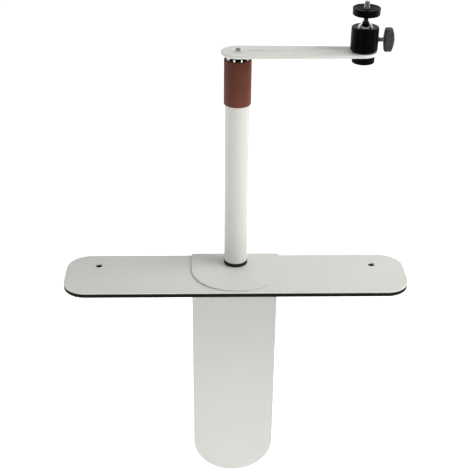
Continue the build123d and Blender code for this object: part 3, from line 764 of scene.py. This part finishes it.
grow("threaded_camera_stud", THREAD, {
    "Radius": stud_size.x / 2, "Depth": 0.62 * MM, "Pitch": 1.27 * MM, "Length": stud_length,
    "Chamfer": 0.9 * MM, "Around": 64, "Rows": 70, "Turn": (0.0, 0.0, 0.0),
    "Centre": (stud_centre.x, 0.0, stud_top - stud_length / 2),
}, "steel", "platform", "camera_stud")

clamp_centre, clamp_size = centre_and_size("clamp_stud")
grow("threaded_clamp_stud", THREAD, {
    "Radius": clamp_size.x / 2, "Depth": 0.55 * MM, "Pitch": 1.0 * MM, "Length": clamp_size.z,
    "Chamfer": 0.7 * MM, "Around": 40, "Rows": 160, "Turn": (0.0, 0.0, 0.0),
    "Centre": tuple(clamp_centre),
}, "steel", "thumb_screw", "clamp_stud")

lock_centre, lock_size = centre_and_size("lock_screw")
grow("threaded_lock_screw", THREAD, {
    "Radius": lock_size.y / 2, "Depth": 0.42 * MM, "Pitch": 0.8 * MM, "Length": lock_size.x,
    "Chamfer": 1.4 * MM, "Around": 40, "Rows": 232, "Turn": (0.0, math.pi / 2, 0.0),
    "Centre": tuple(lock_centre),
}, "steel", "lock", "lock_screw")

# %% [markdown]
# ## The fluted thumb knob
# The knob under the arm is a short cylinder with fine flutes for the fingers and rounded rims. The
# rule is the same idea as the thread: a cylinder whose radius depends on angle and height. A cosine of
# the angle gives the flutes, a quarter circle rounds the rims, and the flutes fade out there. The
# underside is dished by letting its inner rings rise.

# %% The fluted knob rule
END_FACE = 0.499
DISH_START, DISH_SLOPE = 2.6, 3.4
KNOB_SIZES = {
    "Radius": 0.012, "Height": 0.007, "Flutes": 30.0, "Flute Depth": 0.0006, "Rim": 0.001, "Dish": 0.0008,
    "Around": 240, "Rows": 24, "Centre": (0.0, 0.0, 0.0),
}


def knob_rule():
    tree, inputs = new_rule("fluted_knob_rule", KNOB_SIZES)
    block = tree.node("GeometryNodeMeshCylinder", {"fill_type": "NGON"}, {
        "Vertices": inputs["Around"], "Side Segments": inputs["Rows"], "Fill Segments": 14, "Radius": 1.0,
        "Depth": inputs["Height"],
    })
    x, y, z = tree.axes(tree.node("GeometryNodeInputPosition").outputs["Position"])
    angle = tree.math("ARCTAN2", y, x)
    to_end = inputs["Height"] * 0.5 - tree.math("ABSOLUTE", z)
    into_rim = tree.held(1.0 - to_end / inputs["Rim"])
    rounding = inputs["Rim"] * (1.0 - tree.math("SQRT", 1.0 - into_rim * into_rim))
    wave = 0.5 - tree.math("COSINE", angle * inputs["Flutes"]) * 0.5
    flute = inputs["Flute Depth"] * wave * wave * (1.0 - into_rim)
    radius = inputs["Radius"] - rounding - flute
    out = tree.math("SQRT", x * x + y * y)
    under = tree.math("LESS_THAN", z + inputs["Height"] * END_FACE, 0.0)
    dish = tree.held(DISH_START - out * DISH_SLOPE) * under * inputs["Dish"]
    spot = tree.node("ShaderNodeCombineXYZ", sockets={"X": x * radius, "Y": y * radius, "Z": z + dish})
    shaped = tree.node("GeometryNodeSetPosition", sockets={
        "Geometry": block.outputs["Mesh"], "Position": spot.outputs["Vector"],
    })
    moved = tree.node("GeometryNodeTransform", sockets={
        "Geometry": shaped.outputs["Geometry"], "Translation": inputs["Centre"],
    })
    return close_rule(tree, moved.outputs["Geometry"], inputs)


knob_centre, knob_size = centre_and_size("thumb_knob")
grow("fluted_thumb_knob", knob_rule(), {
    "Radius": knob_size.x / 2, "Height": knob_size.z, "Flutes": 30.0, "Flute Depth": 0.7 * MM,
    "Rim": 1.0 * MM, "Dish": 0.7 * MM, "Around": 360, "Rows": 26, "Centre": tuple(knob_centre),
}, "black_knob", "thumb_screw", "thumb_knob")

# %% [markdown]
# ## The ribbed platform pad
# The rubber inlay that the camera sits on has shallow rings, so that it grips and lets air out. One
# cosine of the distance from the middle makes them on a disc of many rings. The middle drops away
# round the stud's neck.

# %% The ribbed pad rule
PAD_SIZES = {
    "Radius": 0.0125, "Height": 0.0013, "Hole": 0.0037, "Rib Pitch": 0.0012, "Rib Depth": 0.00025,
    "Centre": (0.0, 0.0, 0.0),
}


def pad_rule():
    tree, inputs = new_rule("ribbed_pad_rule", PAD_SIZES)
    disc = tree.node("GeometryNodeMeshCylinder", {"fill_type": "NGON"}, {
        "Vertices": 96, "Side Segments": 2, "Fill Segments": 84, "Radius": inputs["Radius"],
        "Depth": inputs["Height"],
    })
    x, y, z = tree.axes(tree.node("GeometryNodeInputPosition").outputs["Position"])
    out = tree.math("SQRT", x * x + y * y)
    top = tree.math("GREATER_THAN", z, inputs["Height"] * END_FACE)
    ring = 0.5 - tree.math("COSINE", (inputs["Radius"] - out) / inputs["Rib Pitch"] * math.tau) * 0.5
    inside = tree.math("LESS_THAN", out, inputs["Hole"])
    drop = top * (ring * inputs["Rib Depth"] * (1.0 - inside) + inside * inputs["Height"] * 0.8)
    spot = tree.node("ShaderNodeCombineXYZ", sockets={"X": x, "Y": y, "Z": z - drop})
    shaped = tree.node("GeometryNodeSetPosition", sockets={
        "Geometry": disc.outputs["Mesh"], "Position": spot.outputs["Vector"],
    })
    moved = tree.node("GeometryNodeTransform", sockets={
        "Geometry": shaped.outputs["Geometry"], "Translation": inputs["Centre"],
    })
    return close_rule(tree, moved.outputs["Geometry"], inputs)


pad_centre, pad_size = centre_and_size("platform_pad")
grow("ribbed_platform_pad", pad_rule(), {
    "Radius": pad_size.x / 2, "Height": pad_size.z, "Hole": 3.7 * MM, "Rib Pitch": 1.45 * MM,
    "Rib Depth": 0.3 * MM, "Centre": tuple(pad_centre),
}, "black_rubber", "platform", "platform_pad")

# %% [markdown]
# ## The lock knob
# The paddle at the side is a soft lozenge: wider across its hub than at its ends, with grooves along
# both flat faces. A block with a Subdivision Surface could be pulled into that shape, but its size is
# then hard to hold. Instead it is lofted: a rounded section is worked out for each height, the
# sections are stitched together, and the two ends are closed.

# %% Loft the lock knob
KNOB_SECTION_POINTS = 72
KNOB_SECTIONS = 84
KNOB_INNER_INSET = 1.4 * MM
KNOB_OUTER_INSET = 2.6 * MM
KNOB_HALF_THICKNESS = 5.3 * MM
KNOB_END_RADIUS = 1.2 * MM
GROOVES = (-2.2 * MM, 0.0, 2.2 * MM)
GROOVE_DEPTH = 0.45 * MM
GROOVE_HALF_WIDTH = 0.55 * MM
GROOVE_HUB_GAP, GROOVE_HUB_FADE = 3.5 * MM, 2.0 * MM
GROOVE_END_GAP, GROOVE_END_FADE = 2.2 * MM, 1.5 * MM
HUB_SOFTNESS = 0.9 * MM
HUB_INSET = 0.25 * MM
POLE_GAP = 0.9995
CORNER_SQUARENESS = 0.5
MERGE_WITHIN = 0.01 * MM


def paddle_section(height, half_length, half_width, hub):
    """How far the paddle reaches inwards, outwards and to each flat face at one height."""
    share = abs(height) / half_length
    inner = half_width - KNOB_INNER_INSET * share ** 2
    outer = half_width - KNOB_OUTER_INSET * share ** 2
    past = max(0.0, abs(height) - (half_length - KNOB_END_RADIUS))
    rounded = math.sqrt(max(KNOB_END_RADIUS ** 2 - past ** 2, 0.0))
    thick = KNOB_HALF_THICKNESS - KNOB_END_RADIUS + rounded
    bulge = math.sqrt(max(hub ** 2 - height ** 2, 0.0))
    blend = max(0.0, HUB_SOFTNESS - abs(thick - bulge)) / HUB_SOFTNESS
    return inner, outer, max(thick, bulge) + blend ** 2 * HUB_SOFTNESS / 4


def loft_paddle(name, centre, size):
    half = size / 2
    made = bmesh.new()
    rings = []
    for row in range(KNOB_SECTIONS + 1):
        lean = math.pi * (row / KNOB_SECTIONS - 0.5)
        height = half.z * math.sin(lean) * POLE_GAP
        inner, outer, thick = paddle_section(height, half.z, half.x, half.y - HUB_INSET)
        away_from_hub = min(1.0, max(0.0, (abs(height) - GROOVE_HUB_GAP) / GROOVE_HUB_FADE))
        away_from_end = min(1.0, max(0.0, (half.z - GROOVE_END_GAP - abs(height)) / GROOVE_END_FADE))
        ring = []
        for step in range(KNOB_SECTION_POINTS):
            turn = math.tau * step / KNOB_SECTION_POINTS
            c, s = math.cos(turn), math.sin(turn)
            x = (outer if c > 0.0 else inner) * math.copysign(abs(c) ** CORNER_SQUARENESS, c)
            y = thick * math.copysign(abs(s) ** CORNER_SQUARENESS, s)
            for groove in GROOVES:
                near = max(0.0, 1.0 - ((x - groove) / GROOVE_HALF_WIDTH) ** 2)
                cut = GROOVE_DEPTH * near * away_from_hub * away_from_end
                y -= math.copysign(min(cut, abs(y)), y)
            ring.append(made.verts.new((centre.x + x, centre.y + y, centre.z + height)))
        rings.append(ring)
    for low, high in zip(rings, rings[1:]):
        for step in range(KNOB_SECTION_POINTS):
            after = (step + 1) % KNOB_SECTION_POINTS
            made.faces.new((low[step], low[after], high[after], high[step]))
    made.faces.new(list(reversed(rings[0])))
    made.faces.new(rings[-1])
    bmesh.ops.remove_doubles(made, verts=made.verts, dist=MERGE_WITHIN)
    bmesh.ops.recalc_face_normals(made, faces=made.faces)
    for face in made.faces:
        face.smooth = True
    mesh = bpy.data.meshes.new(name)
    made.to_mesh(mesh)
    made.free()
    piece = bpy.data.objects.new(name, mesh)
    scene.collection.objects.link(piece)
    mesh.materials.append(FINISHES["grey_knob"])
    return piece


paddle = loft_paddle("grooved_lock_knob", *centre_and_size("lock_knob"))
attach(paddle, "lock")
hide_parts("lock_knob")
print("lock knob has", len(paddle.data.polygons), "faces")
